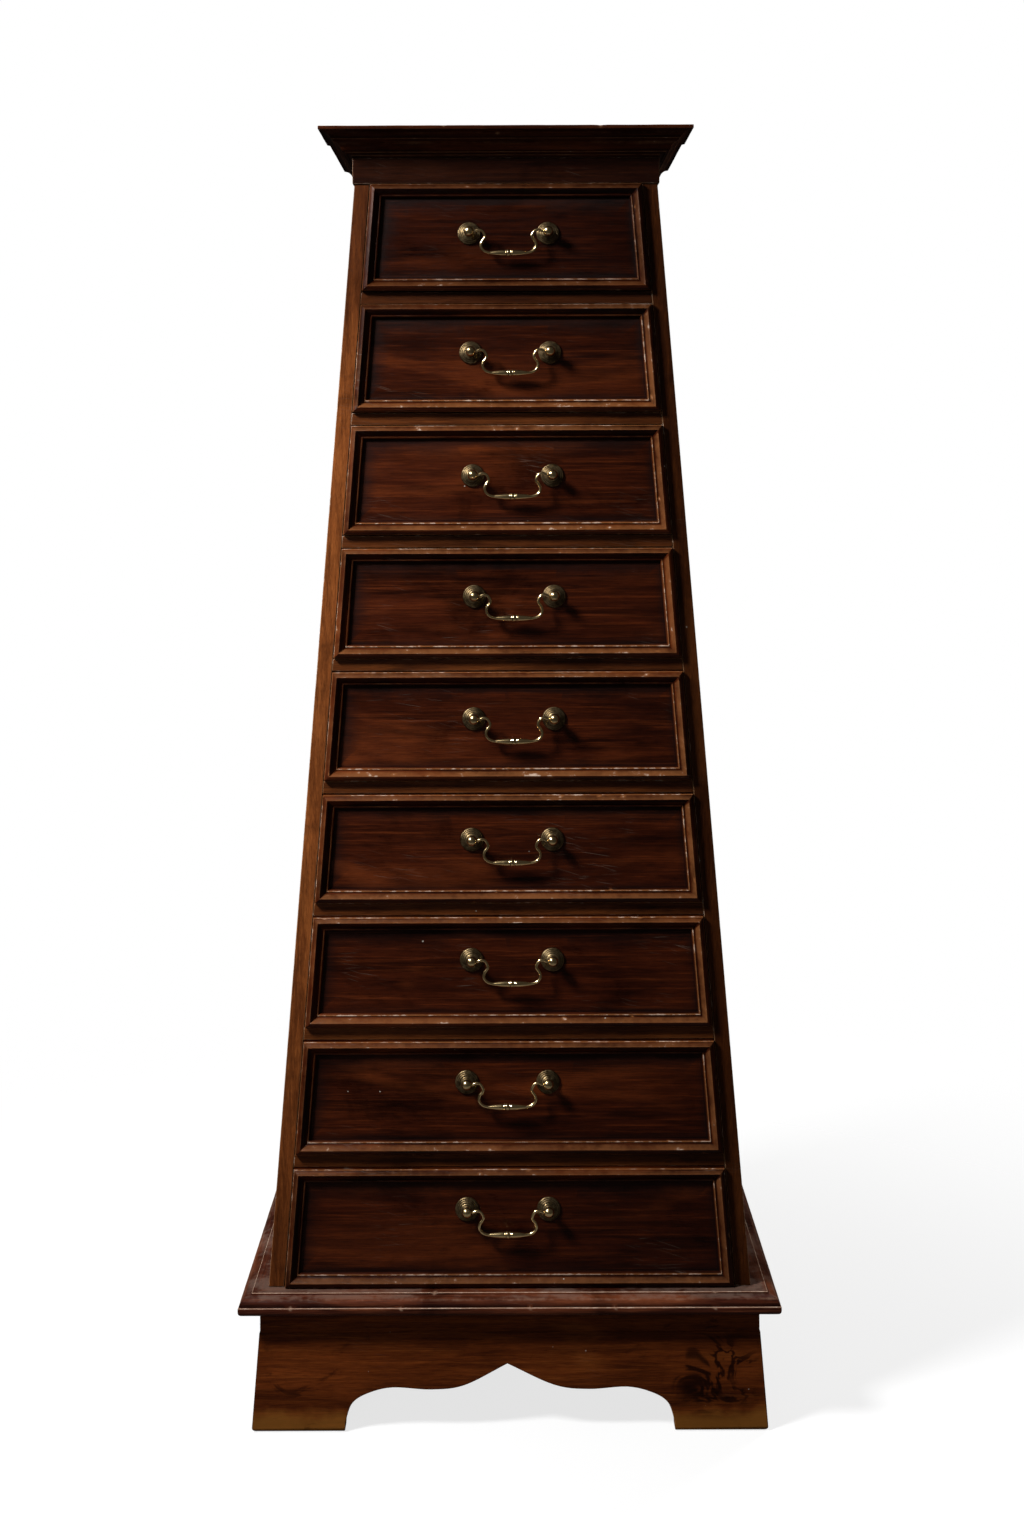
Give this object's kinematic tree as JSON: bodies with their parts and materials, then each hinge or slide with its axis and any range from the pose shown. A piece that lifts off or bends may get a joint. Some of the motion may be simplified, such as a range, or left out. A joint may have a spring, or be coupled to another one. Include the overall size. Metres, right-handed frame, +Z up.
{
  "type": "pyramid chest of drawers",
  "caption": "Tall mahogany chest tapering from a bracket-foot plinth to a crown cornice, with moulded drawers stacked in a column and brass swan-neck bail handles that swing.",
  "frame": {"origin": "on the floor, at the middle of the bounding box's base", "axes": "+Z up, the drawers open towards -Y, +X to the viewer's right"},
  "size_m": [0.585, 0.425, 1.4238],
  "materials": {
    "mahogany": "worn satin polish",
    "drawer_wood": "unpolished",
    "brass": "aged, dull"
  },
  "bodies": {
    "case": {"plinth": "mahogany", "base_board": "mahogany", "side_left": "mahogany", "side_right": "mahogany", "back_panel": "mahogany", "frieze": "mahogany", "cornice": "mahogany", "divider_1": "mahogany", "divider_2": "mahogany", "divider_3": "mahogany", "divider_4": "mahogany", "divider_5": "mahogany", "divider_6": "mahogany", "divider_7": "mahogany", "divider_8": "mahogany"},
    "drawer_1": {"drawer_1_front": "mahogany", "drawer_1_box": "drawer_wood", "drawer_1_post_left": "brass", "drawer_1_post_right": "brass"},
    "bail_1": {"drawer_1_bail": "brass"},
    "drawer_2": {"drawer_2_front": "mahogany", "drawer_2_box": "drawer_wood", "drawer_2_post_left": "brass", "drawer_2_post_right": "brass"},
    "bail_2": {"drawer_2_bail": "brass"},
    "drawer_3": {"drawer_3_front": "mahogany", "drawer_3_box": "drawer_wood", "drawer_3_post_left": "brass", "drawer_3_post_right": "brass"},
    "bail_3": {"drawer_3_bail": "brass"},
    "drawer_4": {"drawer_4_front": "mahogany", "drawer_4_box": "drawer_wood", "drawer_4_post_left": "brass", "drawer_4_post_right": "brass"},
    "bail_4": {"drawer_4_bail": "brass"},
    "drawer_5": {"drawer_5_front": "mahogany", "drawer_5_box": "drawer_wood", "drawer_5_post_left": "brass", "drawer_5_post_right": "brass"},
    "bail_5": {"drawer_5_bail": "brass"},
    "drawer_6": {"drawer_6_front": "mahogany", "drawer_6_box": "drawer_wood", "drawer_6_post_left": "brass", "drawer_6_post_right": "brass"},
    "bail_6": {"drawer_6_bail": "brass"},
    "drawer_7": {"drawer_7_front": "mahogany", "drawer_7_box": "drawer_wood", "drawer_7_post_left": "brass", "drawer_7_post_right": "brass"},
    "bail_7": {"drawer_7_bail": "brass"},
    "drawer_8": {"drawer_8_front": "mahogany", "drawer_8_box": "drawer_wood", "drawer_8_post_left": "brass", "drawer_8_post_right": "brass"},
    "bail_8": {"drawer_8_bail": "brass"},
    "drawer_9": {"drawer_9_front": "mahogany", "drawer_9_box": "drawer_wood", "drawer_9_post_left": "brass", "drawer_9_post_right": "brass"},
    "bail_9": {"drawer_9_bail": "brass"}
  },
  "joints": [
    {"name": "drawer_1_slide", "type": "slide", "parent": "case", "child": "drawer_1", "axis": [0, -1, 0], "range_m": [0, 0.195]},
    {"name": "drawer_1_bail_swing", "type": "hinge", "parent": "drawer_1", "child": "bail_1", "pos_m": [0.0026, -0.11076, 1.3075], "axis": [-1, 0, 0], "range_deg": [-15, 170]},
    {"name": "drawer_2_slide", "type": "slide", "parent": "case", "child": "drawer_2", "axis": [0, -1, 0], "range_m": [0, 0.205]},
    {"name": "drawer_2_bail_swing", "type": "hinge", "parent": "drawer_2", "child": "bail_2", "pos_m": [0.0042, -0.1209, 1.1723], "axis": [-1, 0, 0], "range_deg": [-15, 170]},
    {"name": "drawer_3_slide", "type": "slide", "parent": "case", "child": "drawer_3", "axis": [0, -1, 0], "range_m": [0, 0.21]},
    {"name": "drawer_3_bail_swing", "type": "hinge", "parent": "drawer_3", "child": "bail_3", "pos_m": [0.0062, -0.13126, 1.0341], "axis": [-1, 0, 0], "range_deg": [-15, 170]},
    {"name": "drawer_4_slide", "type": "slide", "parent": "case", "child": "drawer_4", "axis": [0, -1, 0], "range_m": [0, 0.22]},
    {"name": "drawer_4_bail_swing", "type": "hinge", "parent": "drawer_4", "child": "bail_4", "pos_m": [0.0078, -0.14137, 0.8994], "axis": [-1, 0, 0], "range_deg": [-15, 170]},
    {"name": "drawer_5_slide", "type": "slide", "parent": "case", "child": "drawer_5", "axis": [0, -1, 0], "range_m": [0, 0.225]},
    {"name": "drawer_5_bail_swing", "type": "hinge", "parent": "drawer_5", "child": "bail_5", "pos_m": [0.007, -0.15151, 0.7642], "axis": [-1, 0, 0], "range_deg": [-15, 170]},
    {"name": "drawer_6_slide", "type": "slide", "parent": "case", "child": "drawer_6", "axis": [0, -1, 0], "range_m": [0, 0.23]},
    {"name": "drawer_6_bail_swing", "type": "hinge", "parent": "drawer_6", "child": "bail_6", "pos_m": [0.0044, -0.16142, 0.632], "axis": [-1, 0, 0], "range_deg": [-15, 170]},
    {"name": "drawer_7_slide", "type": "slide", "parent": "case", "child": "drawer_7", "axis": [0, -1, 0], "range_m": [0, 0.24]},
    {"name": "drawer_7_bail_swing", "type": "hinge", "parent": "drawer_7", "child": "bail_7", "pos_m": [0.0039, -0.17122, 0.5013], "axis": [-1, 0, 0], "range_deg": [-15, 170]},
    {"name": "drawer_8_slide", "type": "slide", "parent": "case", "child": "drawer_8", "axis": [0, -1, 0], "range_m": [0, 0.245]},
    {"name": "drawer_8_bail_swing", "type": "hinge", "parent": "drawer_8", "child": "bail_8", "pos_m": [-0.0016, -0.1811, 0.3696], "axis": [-1, 0, 0], "range_deg": [-15, 170]},
    {"name": "drawer_9_slide", "type": "slide", "parent": "case", "child": "drawer_9", "axis": [0, -1, 0], "range_m": [0, 0.255]},
    {"name": "drawer_9_bail_swing", "type": "hinge", "parent": "drawer_9", "child": "bail_9", "pos_m": [-0.0016, -0.19128, 0.2339], "axis": [-1, 0, 0], "range_deg": [-15, 170]}
  ]
}
